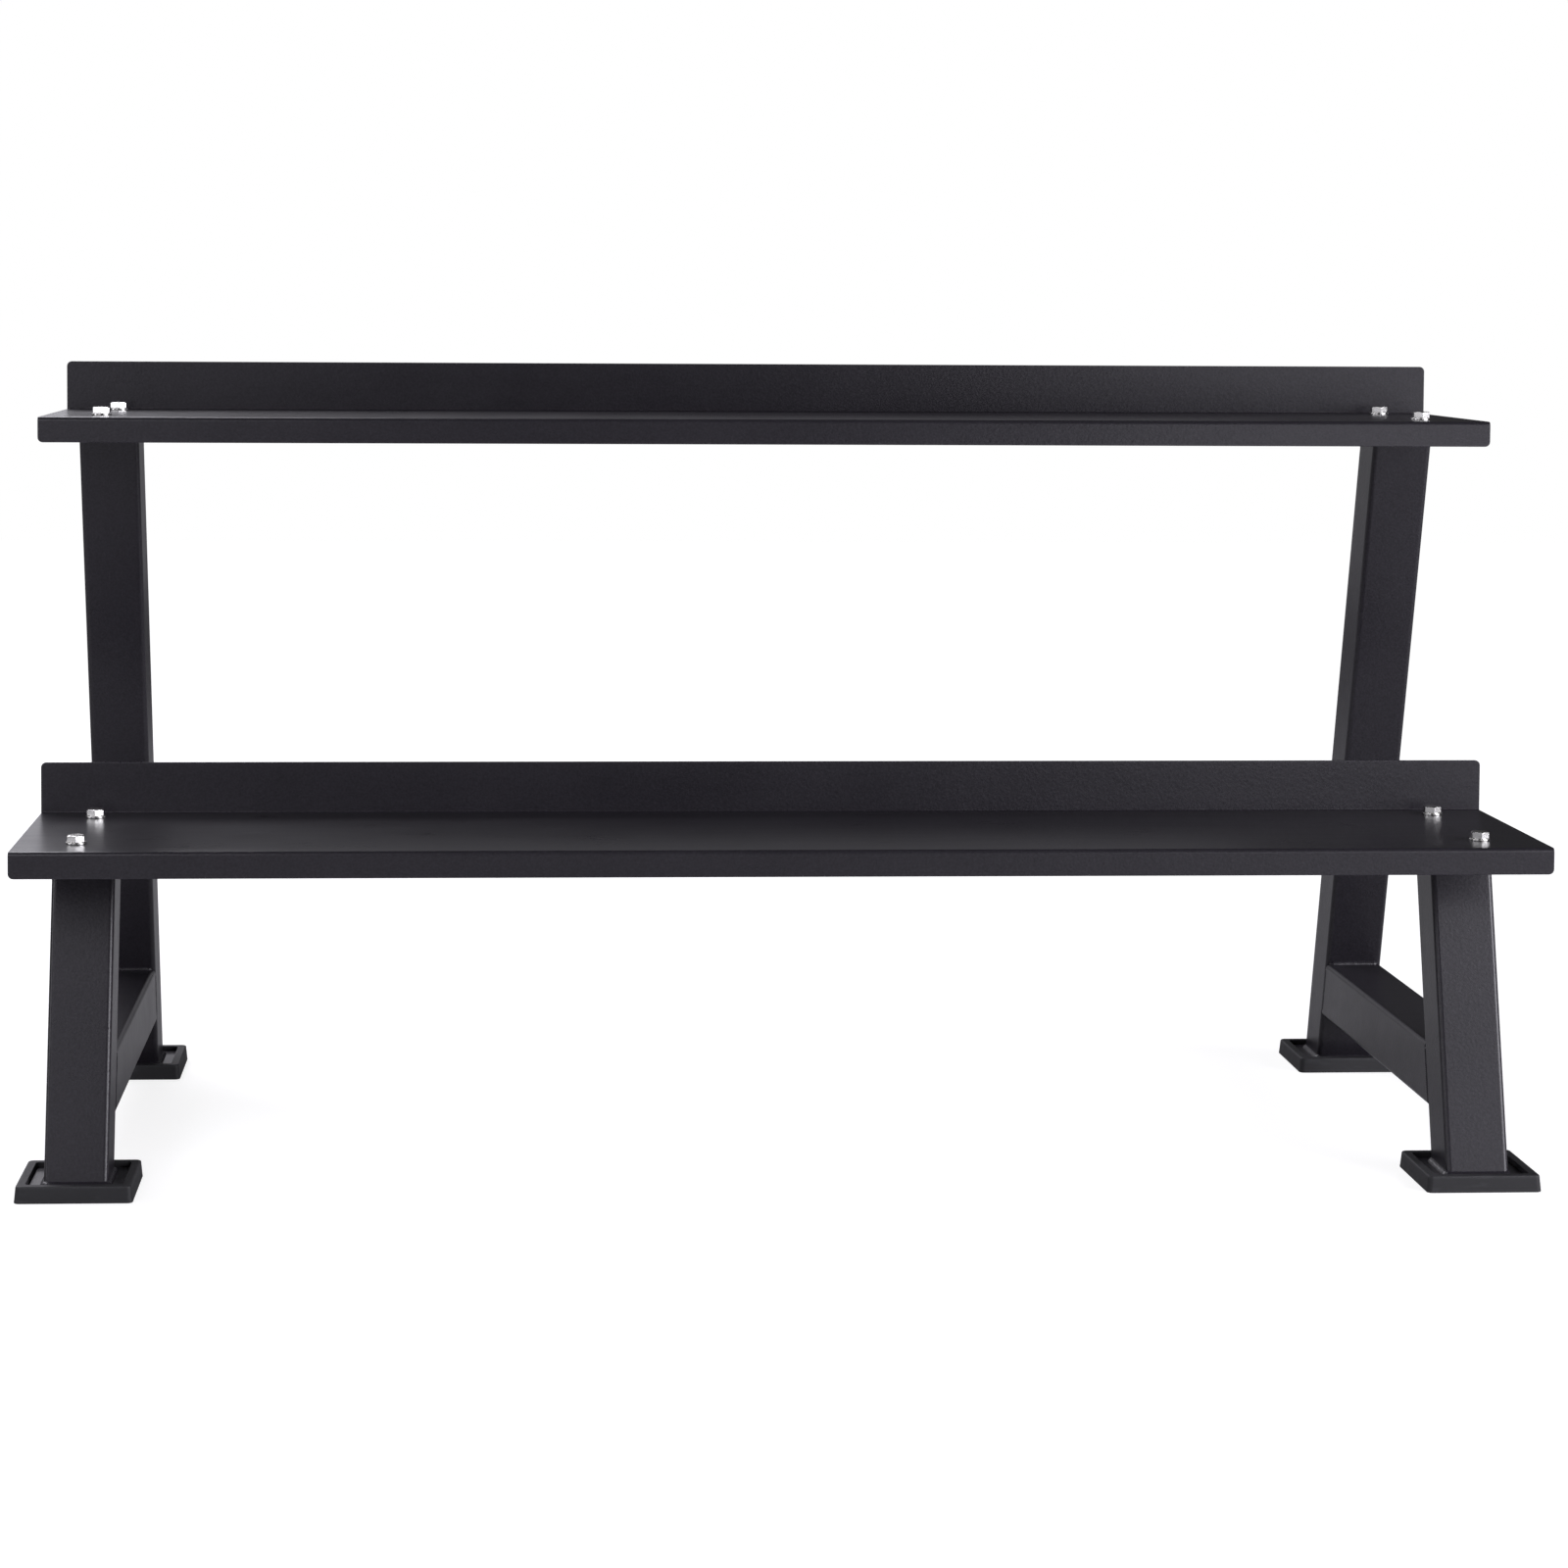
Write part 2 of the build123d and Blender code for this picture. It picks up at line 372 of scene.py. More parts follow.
def powder_coat(colours):
    """Satin black powder coat: orange peel, slight unevenness, thinner and glossier over edges,
    where it is also lighter: partly wear, partly a painted highlight.
    """
    coat = Finish("powder_coat_satin")
    peel = coat.grain(2.8 * MM, detail=1.5, roughness=0.45)
    fine = coat.grain(0.5 * MM, detail=2.0, seed=3.7)
    cloud = coat.grain(90 * MM, detail=3.0, seed=11.3)
    streak = coat.grain(14 * MM, detail=2.0, seed=23.9, stretch=(0.12, 1, 1))
    worn_and_highlit = coat.attribute("wear_and_highlight") * coat.ramp(coat.grain(5 * MM, detail=3.0, seed=31.1), 0.35, 0.7)
    speck = coat.ramp(coat.grain(1.1 * MM, detail=0.0, seed=47.0), 0.76, 0.84)
    pepper = coat.grain(2.0 * MM, detail=2.0, seed=61.7)
    colour = coat.blend(cloud, shade(colours.coat, 0.85), shade(colours.coat, 1.15))
    colour = colour * (0.45 + 1.1 * pepper)
    # Lighter edges: partly wear that thins the coat, partly a painted highlight
    colour = coat.blend(worn_and_highlit * 0.5, colour, shade(colours.coat, 3.0))
    colour = coat.blend(speck * 0.35, colour, shade(colours.coat, 2.2))
    rough = 0.3 + (cloud - 0.5) * 0.10 + (streak - 0.5) * 0.06 + (fine - 0.5) * 0.05 - worn_and_highlit * 0.06
    normal = coat.bump(peel, 0.13 * MM)
    normal = coat.bump(fine, 0.008 * MM, under=normal)
    return coat.surface({"Base Color": colour, "Roughness": rough, "Normal": normal})


def bright_zinc(colours):
    """Bright zinc plating over forged steel, a little yellowed and scuffed."""
    zinc = Finish("bright_zinc_plating")
    cloud = zinc.grain(4 * MM, detail=3.0)
    fine = zinc.grain(0.35 * MM, detail=3.0, seed=7.1)
    marks = zinc.grain(1.2 * MM, detail=2.0, seed=13.3, stretch=(1, 1, 6))
    worn_and_highlit = zinc.attribute("wear_and_highlight") * zinc.ramp(fine, 0.35, 0.65)
    root = zinc.attribute("root")
    colour = zinc.blend(cloud, colours.zinc, (0.80, 0.78, 0.70))
    colour = zinc.blend(worn_and_highlit * 0.6, colour, (0.88, 0.88, 0.87))
    colour = zinc.blend(root * 0.75, colour, (0.16, 0.155, 0.14))
    rough = 0.19 + cloud * 0.10 + (fine - 0.5) * 0.10 + root * 0.25
    normal = zinc.bump(marks, 0.010 * MM)
    normal = zinc.bump(fine, 0.006 * MM, under=normal)
    return zinc.surface(
        {"Base Color": colour, "Metallic": 1.0, "Roughness": rough, "Normal": normal}
    )


def moulded_rubber(colours):
    """Matte black moulded rubber with a faint bloom and rubbed edges."""
    rubber = Finish("moulded_rubber")
    cloud = rubber.grain(25 * MM, detail=4.0, roughness=0.6)
    pebble = rubber.grain(0.9 * MM, detail=2.0, seed=5.3)
    smear = rubber.grain(9 * MM, detail=5.0, seed=17.7, stretch=(0.3, 1, 1))
    scuff = rubber.ramp(smear, 0.55, 0.75)
    worn_and_highlit = rubber.attribute("wear_and_highlight") * rubber.ramp(pebble, 0.3, 0.6)
    colour = rubber.blend(cloud, shade(colours.rubber, 0.8), shade(colours.rubber, 1.35))
    colour = rubber.blend(scuff * 0.35, colour, shade(colours.rubber, 3.0))
    colour = rubber.blend(worn_and_highlit * 0.4, colour, shade(colours.rubber, 2.4))
    rough = 0.62 + (cloud - 0.5) * 0.16 + (pebble - 0.5) * 0.12 - worn_and_highlit * 0.08
    normal = rubber.bump(pebble, 0.05 * MM)
    normal = rubber.bump(cloud, 0.25 * MM, under=normal)
    return rubber.surface({"Base Color": colour, "Roughness": rough, "Normal": normal})


FINISHES = {"powder_coat": powder_coat, "bright_zinc": bright_zinc, "rubber": moulded_rubber}
_made = {}


def finish(slot):
    """The material of a slot, wired up the first time that it is asked for."""
    if slot not in _made:
        _made[slot] = FINISHES[slot](bpy.context.scene.rack_colours)
    return _made[slot]


# Outlines


def rounded_polygon(corners, radius, steps=6, along=1):
    """Points anticlockwise round a polygon with rounded corners, its sides in equal parts."""
    arcs = []
    for index, corner in enumerate(corners):
        before = corners[index - 1]
        after = corners[(index + 1) % len(corners)]
        into = (corner - before).normalized()
        out = (after - corner).normalized()
        turn = math.acos(max(-1, min(1, into.dot(out))))
        centre = corner - into * radius * math.tan(turn / 2) + Vector((-into.y, into.x)) * radius
        spoke = Vector((into.y, -into.x)) * radius
        turns = [Matrix.Rotation(turn * k / steps, 2) for k in range(steps + 1)]
        arcs.append([centre + rotation @ spoke for rotation in turns])
    points = []
    for index, arc in enumerate(arcs):
        points += arc
        start, end = arc[-1], arcs[(index + 1) % len(arcs)][0]
        points += [start.lerp(end, k / along) for k in range(1, along)]
    return points


def rectangle(width, depth, radius, steps=6, along=1):
    """A rectangle with rounded corners round the origin."""
    x, y = width / 2, depth / 2
    corners = [Vector((x, -y)), Vector((x, y)), Vector((-x, y)), Vector((-x, -y))]
    return rounded_polygon(corners, radius, steps, along)


def circle(radius, steps=48):
    turns = [math.tau * k / steps for k in range(steps)]
    return [Vector((math.cos(turn), math.sin(turn))) * radius for turn in turns]


def hexagon(flats, steps=3, along=10):
    """A hexagon of a width across flats, with a corner to the front."""
    reach = flats / math.sqrt(3)
    turns = [math.radians(60 * k + 30) for k in range(6)]
    corners = [Vector((math.cos(turn), math.sin(turn))) * reach for turn in turns]
    return rounded_polygon(corners, HEXAGON_CORNER, steps, along)


def rounded_edge(radius, steps=3):
    """(inset, drop, wear and painted highlight) from a face, over its rounded edge, to the side of
    the piece.
    """
    stations = [(radius + UNMARKED_FROM_EDGE, 0.0, 0.0)]
    for step in range(steps + 1):
        turn = math.radians(90 * step / steps)
        inset = radius * (1 - math.sin(turn))
        drop = radius * (1 - math.cos(turn))
        stations.append((inset, drop, 1.0 if 0 < step < steps else EDGE_FOOT_WEAR_AND_HIGHLIGHT))
    return stations


class Shape:
    """A mesh being built from rings of points, with wear and painted-highlight values and root
    values at each point.
    """

    def __init__(self):
        self.mesh = bmesh.new()
        self.wear_and_highlight = self.mesh.verts.layers.float.new("wear_and_highlight")
        self.root = self.mesh.verts.layers.float.new("root")

    def ring(self, points, wear_and_highlight=0.0, roots=None):
        made = [self.mesh.verts.new(point) for point in points]
        for index, vert in enumerate(made):
            vert[self.wear_and_highlight] = wear_and_highlight
            vert[self.root] = roots[index] if roots else 0.0
        return made

    def bridge(self, first, second, closed=True):
        """A strip of faces between two rings of as many points."""
        count = len(first)
        for index in range(count if closed else count - 1):
            after = (index + 1) % count
            self.mesh.faces.new((first[index], first[after], second[after], second[index]))

    def skin(self, rings, wrap=False, closed=True):
        """Strips from each ring to the next, and from the last to the first if it wraps."""
        for first, second in zip(rings, rings[1:]):
            self.bridge(first, second, closed)
        if wrap:
            self.bridge(rings[-1], rings[0], closed)

    def cap(self, ring, holes=()):
        """A flat face inside a ring, with holes left open."""
        if not holes:
            self.mesh.faces.new(ring)
            return
        loops = [ring, *holes]
        corners = [vert for loop in loops for vert in loop]
        for triangle in tessellate_polygon([[vert.co for vert in loop] for loop in loops]):
            self.mesh.faces.new([corners[index] for index in triangle])

    def slab(self, outline, holes, bottom, top, edge):
        """A plate between two heights: outline and holes each give their points for an inset."""
        stations = [(inset, bottom + drop, wear_and_highlight) for inset, drop, wear_and_highlight in rounded_edge(edge)]
        upper = [(inset, top - drop, wear_and_highlight) for inset, drop, wear_and_highlight in rounded_edge(edge)]
        stations += reversed(upper)
        ends = []
        for loop in (outline, *holes):
            rings = [
                self.ring([(x, y, height) for x, y in loop(inset)], wear_and_highlight)
                for inset, height, wear_and_highlight in stations
            ]
            self.skin(rings)
            ends.append((rings[0], rings[-1]))
        for end in (0, 1):
            self.cap(ends[0][end], [pair[end] for pair in ends[1:]])

    def piece(self, node, slot):
        """The finished object, standing for a CAD node and riding on the rack's body."""
        bmesh.ops.recalc_face_normals(self.mesh, faces=self.mesh.faces)
        data = bpy.data.meshes.new(f"{node}.detail")
        self.mesh.to_mesh(data)
        self.mesh.free()
        data.shade_smooth()
        data.set_sharp_from_angle(angle=SHARP_ANGLE)
        data.materials.append(finish(slot))
        piece = bpy.data.objects.new(f"{node}.detail", data)
        bpy.context.scene.collection.objects.link(piece)
        shading = piece.modifiers.new("Even shading", "WEIGHTED_NORMAL")
        shading.keep_sharp = True
        shading.weight = 100
        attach(piece, BODY)
        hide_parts(node)
        return piece


# Places read from the frame


def middle(node):
    low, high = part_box(node)
    return (low + high) / 2


def bolt_centres(level, washer):
    """The four bolt centres of a shelf, from the corners of its washers' box."""
    low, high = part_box(f"{level}_top_washers")
    inset = washer / 2
    places_x = (low.x + inset, high.x - inset)
    places_y = (low.y + inset, high.y - inset)
    return [(x, y) for x in places_x for y in places_y]


class TubeLine:
    """The middle line of a leaning square tube, from its node's box and its foot plate's."""

    def __init__(self, node, foot_plate):
        low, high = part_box(node)
        foot = middle(foot_plate)
        self.side = high.x - low.x
        self.x = foot.x
        leans_back = foot.y - low.y < high.y - foot.y
        outer = foot.y - low.y if leans_back else high.y - foot.y
        top_y = high.y - outer if leans_back else low.y + outer
        self.depth = 2 * outer
        self.start = Vector((self.x, foot.y, low.z))
        self.end = Vector((self.x, top_y, high.z))
        self.axis = (self.end - self.start).normalized()

    def at(self, height):
        """The middle of the tube at a height."""
        share = (height - self.start.z) / (self.end.z - self.start.z)
        return self.start.lerp(self.end, share)


def side_tubes(side):
    leg = TubeLine(f"{side}_front_leg", f"{side}_front_foot_plate")
    post = TubeLine(f"{side}_rear_post", f"{side}_rear_foot_plate")
    return leg, post


# Pieces


class Fold:
    """Where a point of a shelf's flat sheet ends up once its lip and upstand are folded."""

    def __init__(self, level, sizes):
        low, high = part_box(f"{level}_shelf")
        self.sheet = sizes.sheet
        self.bend = sizes.bend
        self.low = low
        self.high = high
        self.deck_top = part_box(f"{level}_top_washers")[0].z
        self.mean = self.bend - self.sheet / 2
        arc = self.mean * math.pi / 2
        self.lip_end = self.deck_top - low.z - self.bend
        self.deck_start = self.lip_end + arc
        self.deck_end = self.deck_start + high.y - low.y - 2 * self.bend
        self.upstand_start = self.deck_end + arc
        self.length = self.upstand_start + high.z - (self.deck_top - self.sheet) - self.bend

    def place(self, x, along, above):
        """x across, along from the lip's cut edge, and above from the sheet's middle."""
        if along <= self.lip_end:
            return Vector((x, self.low.y + self.sheet / 2 - above, self.low.z + along))
        if along < self.deck_start:
            turn = (along - self.lip_end) / self.mean
            reach = self.mean + above
            y = self.low.y + self.bend - reach * math.cos(turn)
            return Vector((x, y, self.deck_top - self.bend + reach * math.sin(turn)))
        if along <= self.deck_end:
            y = self.low.y + self.bend + along - self.deck_start
            return Vector((x, y, self.deck_top - self.sheet / 2 + above))
        centre_z = self.deck_top - self.sheet + self.bend
        if along < self.upstand_start:
            turn = (along - self.deck_end) / self.mean
            reach = self.mean - above
            y = self.high.y - self.bend + reach * math.sin(turn)
            return Vector((x, y, centre_z - reach * math.cos(turn)))
        rise = along - self.upstand_start
        return Vector((x, self.high.y - self.sheet / 2 - above, centre_z + rise))

    def unfolded(self, y):
        """How far along the flat sheet a point of the deck is."""
        return self.deck_start + y - self.low.y - self.bend


def folded_shelf(level, sizes, edge, washer):
    """One sheet, cut flat with its holes and round corners, then folded twice."""
    shape = Shape()
    fold = Fold(level, sizes)
    bend_steps = 8
    corner_steps = 5
    half = (fold.high.x - fold.low.x) / 2
    rows = []
    for start, end in ((fold.lip_end, fold.deck_start), (fold.deck_end, fold.upstand_start)):
        rows.append([start + (end - start) * step / bend_steps for step in range(bend_steps + 1)])
    rows = rows[0] + rows[1]

    def outline(inset):
        radius = sizes.corner - inset
        across = half - sizes.corner
        up = fold.length - sizes.corner
        down = sizes.corner
        corners = ((-across, down, 180), (across, down, 270), (across, up, 0), (-across, up, 90))
        arcs = []
        for x, along, start in corners:
            arc = []
            for step in range(corner_steps + 1):
                turn = math.radians(start + 90 * step / corner_steps)
                arc.append((x + radius * math.cos(turn), along + radius * math.sin(turn)))
            arcs.append(arc)
        right = [(half - inset, row) for row in rows]
        left = [(inset - half, row) for row in reversed(rows)]
        return arcs[0] + arcs[1] + right + arcs[2] + arcs[3] + left

    middle_x = (fold.high.x + fold.low.x) / 2
    holes = [(x - middle_x, fold.unfolded(y)) for x, y in bolt_centres(level, washer)]
    stations = [(inset, drop - fold.sheet / 2, wear_and_highlight) for inset, drop, wear_and_highlight in rounded_edge(edge)]
    upper = [(inset, fold.sheet / 2 - drop, wear_and_highlight) for inset, drop, wear_and_highlight in rounded_edge(edge)]
    stations += reversed(upper)

    def rings(loop):
        return [
            shape.ring([fold.place(middle_x + x, along, above) for x, along in loop(inset)], wear_and_highlight)
            for inset, above, wear_and_highlight in stations
        ]

    def hole_loop(x, along):
        rim = sizes.hole / 2
        return lambda inset: [(x + p.x, along + p.y) for p in circle(rim + inset, HOLE_SIDES)]

    skins = [rings(outline)] + [rings(hole_loop(x, along)) for x, along in holes]
    for skin in skins:
        shape.skin(skin)
    arc = corner_steps + 1
    count = len(rows)
    for end in (0, -1):
        ring = skins[0][end]
        right = ring[2 * arc : 2 * arc + count]
        left = list(reversed(ring[4 * arc + count :]))
        shape.cap(ring[: 2 * arc] + [right[0], left[0]])
        shape.cap(ring[2 * arc + count : 4 * arc + count] + [left[-1], right[-1]])
        for row in [*range(bend_steps), *range(bend_steps + 1, 2 * bend_steps + 1)]:
            shape.cap([left[row], right[row], right[row + 1], left[row + 1]])
        deck = [left[bend_steps], right[bend_steps], right[bend_steps + 1], left[bend_steps + 1]]
        shape.cap(deck, [skin[end] for skin in skins[1:]])
    return shape.piece(f"{level}_shelf", "powder_coat")


def leaning_tube(node, line, sizes):
    """A hollow square tube, cut level at both ends."""
    shape = Shape()

    def ring(height, inset, radius):
        centre = line.at(height)
        stretch = line.depth / line.side
        points = rectangle(line.side - 2 * inset, line.side - 2 * inset, radius, TUBE_CORNER_STEPS)
        return shape.ring([(centre.x + p.x, centre.y + p.y * stretch, height) for p in points])

    low, high = line.start.z, line.end.z
    outside = [ring(height, 0, sizes.tube_corner) for height in (low, high)]
    bore = sizes.tube_corner - sizes.wall
    inside = [ring(height, sizes.wall, bore) for height in (high, low)]
    shape.skin(outside + inside, wrap=True)
    return shape.piece(node, "powder_coat")


def stretcher_tube(node, leg, post, sizes):
    """A level square tube whose ends are cut to the leaning faces it meets."""
    shape = Shape()
    centre = middle(node)
    side = leg.side

    def ring(place, inset, radius):
        points = rectangle(side - 2 * inset, side - 2 * inset, radius, TUBE_CORNER_STEPS)
        return shape.ring([(centre.x + p.x, place(centre.z + p.y), centre.z + p.y) for p in points])

    def leg_back(height):
        return leg.at(height).y + leg.depth / 2

    def post_front(height):
        return post.at(height).y - post.depth / 2

    outside = [ring(place, 0, sizes.tube_corner) for place in (leg_back, post_front)]
    bore = sizes.tube_corner - sizes.wall
    inside = [ring(place, sizes.wall, bore) for place in (post_front, leg_back)]
    shape.skin(outside + inside, wrap=True)
    return shape.piece(node, "powder_coat")


def bracket_plate(node, level, sizes, hole, washer):
    """The plate under a shelf end, with its two bolt holes."""
    shape = Shape()
    low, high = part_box(node)
    centre = middle(node)

    def outline(inset):
        points = rectangle(
            high.x - low.x - 2 * inset, high.y - low.y - 2 * inset, sizes.bracket_corner - inset
        )
        return [(centre.x + p.x, centre.y + p.y) for p in points]

    def drilled(x, y):
        return lambda inset: [(x + p.x, y + p.y) for p in circle(hole / 2 + inset, HOLE_SIDES)]

    centres = [(x, y) for x, y in bolt_centres(level, washer) if low.x < x < high.x]
    shape.slab(outline, [drilled(x, y) for x, y in centres], low.z, high.z, sizes.edge)
    return shape.piece(node, "powder_coat")


def foot_plate(node, sizes):
    """The square plate across the bottom of a tube."""
    shape = Shape()
    low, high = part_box(node)
    centre = middle(node)

    def outline(inset):
        side = high.x - low.x - 2 * inset
        points = rectangle(side, side, sizes.foot_plate_corner - inset)
        return [(centre.x + p.x, centre.y + p.y) for p in points]

    shape.slab(outline, [], low.z, high.z, sizes.edge)
    return shape.piece(node, "powder_coat")


def rubber_foot(node, plate, sizes):
    """A shallow tray with drafted sides, soft edges and a recess for the foot plate."""
    shape = Shape()
    low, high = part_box(node)
    centre = middle(node)
    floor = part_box(plate)[0].z
    side = high.x - low.x
    height = high.z - low.z
    soft = FOOT_EDGE
    slope = sizes.draft / height
    stations = [(side / 2 - soft - FADE_UNDER, low.z, 0.0), (side / 2 - soft, low.z, 0.4)]
    for step in range(1, 4):
        turn = math.radians(30 * step)
        inset = soft * (1 - math.sin(turn))
        stations.append((side / 2 - inset, low.z + soft * (1 - math.cos(turn)), 0.6))
    shoulder = side / 2 - slope * (height - sizes.edge)
    stations.append((side / 2 - slope * FADE_UP, low.z + FADE_UP, 0.0))
    stations.append((shoulder + slope * FADE_DOWN, high.z - sizes.edge - FADE_DOWN, 0.0))
    for step in range(5):
        turn = math.radians(22.5 * step)
        reach = shoulder - sizes.edge * (1 - math.cos(turn))
        stations.append((reach, high.z - sizes.edge * (1 - math.sin(turn)), 1.0))
    stations.append((shoulder - sizes.edge - FADE_RIM, high.z, 0.1))
    stations.append((sizes.recess / 2 + soft + FADE_RIM, high.z, 0.1))
    for step in range(4):
        turn = math.radians(30 * step)
        reach = sizes.recess / 2 + soft * (1 - math.sin(turn))
        stations.append((reach, high.z - soft * (1 - math.cos(turn)), 0.8))
    stations.append((sizes.recess / 2, floor + soft, 0.0))
    stations.append((sizes.recess / 2 - 0.3 * soft, floor + 0.3 * soft, 0.0))
    stations.append((sizes.recess / 2 - soft, floor, 0.0))
    rings = []
    for reach, level, wear_and_highlight in stations:
        share = (reach - sizes.recess / 2) / (side / 2 - sizes.recess / 2)
        radius = sizes.recess_corner + (sizes.corner - sizes.recess_corner) * share
        points = rectangle(2 * reach, 2 * reach, radius)
        rings.append(shape.ring([(centre.x + p.x, centre.y + p.y, level) for p in points], wear_and_highlight))
    shape.skin(rings)
    shape.cap(rings[0])
    shape.cap(rings[-1])
    return shape.piece(node, "rubber")


def level_points(points, centre, height, share=1):
    """Flat points round a centre, all at one height, drawn in to a share of their reach."""
    return [(centre[0] + share * p.x, centre[1] + share * p.y, height) for p in points]


def chamfered(points, centre, height, lean, flats):
    """Hexagon points at a height, lowered by lean towards the corners, as a cone cuts them."""
    turned = TURNED_SHARE * flats
    slope = math.tan(TURNED_ANGLE)
    return [
        (centre[0] + p.x, centre[1] + p.y, height - lean * max(0.0, p.length - turned) * slope)
        for p in points
    ]


def hexagon_rings(shape, centre, bottom, top, flats, both):
    """The rings of a hexagonal prism whose corners are turned off at one end or both."""
    outline = hexagon(flats)
    inner = [p.normalized() * (TURNED_SHARE * flats) for p in outline]
    soft = HEXAGON_EDGE
    small = [p * (1 - soft / p.length) for p in outline]
    lean = -1 if both else 0
    rings = [
        shape.ring(level_points(inner, centre, bottom), 0.3),
        shape.ring(chamfered(small, centre, bottom, lean, flats), 0.5),
        shape.ring(chamfered(outline, centre, bottom + soft, lean, flats), 1.0),
        shape.ring(chamfered(outline, centre, top - soft, 1, flats), 1.0),
        shape.ring(chamfered(small, centre, top, 1, flats), 0.8),
        shape.ring(level_points(inner, centre, top), 0.5),
    ]
    return rings, inner


def thread(shape, centre, top, length, sizes):
    """A shank with a real screw thread and a chamfered tip."""
    levels = round(length / sizes.pitch * THREAD_RINGS)
    depth = THREAD_DEPTH * sizes.pitch
    rings = []
    for level in range(levels + 1):
        down = length * level / levels
        tip = max(0.0, down - (length - THREAD_TIP))
        points = []
        roots = []
        for side in range(THREAD_SIDES):
            share = side / THREAD_SIDES
            # The groove's slopes, cut flat at the crest and at the root
            wave = abs(2 * ((down / sizes.pitch + share) % 1) - 1)
            cut = min(1, max(0, 1.25 * wave - 0.12))
            reach = min(sizes.shank / 2 - depth * cut, sizes.shank / 2 - tip)
            turn = math.tau * share
            x = centre[0] + reach * math.cos(turn)
            y = centre[1] + reach * math.sin(turn)
            points.append((x, y, top - down))
            roots.append(cut)
        rings.append(shape.ring(points, 0.0, roots))
    shape.skin(rings)
    shape.cap(rings[0])
    shape.cap(rings[-1])


def bolts(level, sizes):
    """Four hexagon bolts with chamfered heads, washer faces and threaded shanks."""
    shape = Shape()
    low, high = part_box(f"{level}_bolts")
    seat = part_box(f"{level}_top_washers")[1].z
    head = seat + WASHER_FACE
    for centre in bolt_centres(level, sizes.washer):
        rings, inner = hexagon_rings(shape, centre, head, high.z, sizes.flats, both=False)
        under = shape.ring(level_points(inner, centre, seat))
        dish = [
            shape.ring(level_points(inner, centre, high.z - down, share))
            for share, down in HEAD_DISH
        ]
        dip = dish[-1]
        shape.skin([under, *rings, *dish])
        shape.cap(under)
        shape.cap(dip)
        thread(shape, centre, seat, seat - low.z, sizes)
    return shape.piece(f"{level}_bolts", "bright_zinc")


def nuts(level, sizes):
    """Four hexagon nuts, their corners turned off at both faces."""
    shape = Shape()
    low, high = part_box(f"{level}_nuts")
    for centre in bolt_centres(level, sizes.washer):
        rings, inner = hexagon_rings(shape, centre, low.z, high.z, sizes.flats, both=True)
        bore = []
        for radius, height in (
            (NUT_MOUTH, high.z),
            (NUT_BORE, high.z - NUT_BEVEL),
            (NUT_BORE, low.z + NUT_BEVEL),
            (NUT_MOUTH, low.z),
        ):
            points = [p.normalized() * radius for p in inner]
            bore.append(shape.ring(level_points(points, centre, height)))
        shape.skin([*rings, *bore], wrap=True)
    return shape.piece(f"{level}_nuts", "bright_zinc")


def washers(node, level, sizes):
    """Four stamped washers with rounded edges."""
    shape = Shape()
    low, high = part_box(node)
    for x, y in bolt_centres(level, sizes.washer):

        def loop(reach, x=x, y=y):
            return lambda inset: [(x + p.x, y + p.y) for p in circle(reach(inset))]

        outer = loop(lambda inset: sizes.washer / 2 - inset)
        inner = loop(lambda inset: sizes.washer_hole / 2 + inset)
        shape.slab(outer, [inner], low.z, high.z, WASHER_EDGE)
    return shape.piece(node, "bright_zinc")


def ripple(travel, share, pitch):
    """How much a bead's crescent ripples swell it, from -1 to 1."""
    crescent = 0.55 * math.sin(math.pi * share)
    wobble = 0.25 * noise.noise(Vector((travel / pitch * 0.37, share, 0.5)))
    wave = (travel / pitch + crescent + wobble) % 1
    return 1 - 2 * wave**1.6


def bead(shape, stations, reach, sweep, pitch, closed):
    """A rippled weld bead. Each station is its root point and two directions it spreads in.

    Its ends taper unless it is closed, its size wanders a little, and a bead in a corner is
    flatter than a quarter circle.
    """
    travel = 0.0
    rings = []
    last = stations[0][0]
    length = sum((b[0] - a[0]).length for a, b in zip(stations, stations[1:]))
    for root, across, up in stations:
        travel += (root - last).length
        last = root
        end = 1.0
        if not closed:
            from_end = min(travel, length - travel)
            end = math.sqrt(min(1, 0.12 + from_end / (1.2 * reach)))
        uneven = 1 + 0.05 * noise.noise(root * 180)
        points = [root]
        for step in range(BEAD_PARTS + 1):
            share = step / BEAD_PARTS
            turn = math.radians(sweep) * share
            swell = 0.93 * uneven + 0.055 * ripple(travel, share, pitch)
            full = swell * reach * end
            if sweep <= 90:
                full /= (math.cos(turn) + math.sin(turn)) ** 0.45
            points.append(root + (across * math.cos(turn) + up * math.sin(turn)) * full)
        rings.append(shape.ring(points))
    shape.skin(rings, wrap=closed)
    if not closed:
        shape.cap(rings[0])
        shape.cap(rings[-1])


def ring_bead(shape, line, height, up, sizes):
    """The bead all round a tube where it meets a plate."""
    points = rectangle(line.side, line.depth, sizes.tube_corner, BEAD_CORNER, BEAD_SIDE)
    centre = line.at(height)
    stations = []
    for index, point in enumerate(points):
        tangent = (points[(index + 1) % len(points)] - points[index - 1]).normalized()
        outwards = Vector((tangent.y, -tangent.x, 0))
        root = Vector((centre.x + point.x, centre.y + point.y, height))
        stations.append((root, outwards, line.axis * up))
    bead(shape, stations, sizes.weld, 90, sizes.ripple, closed=True)


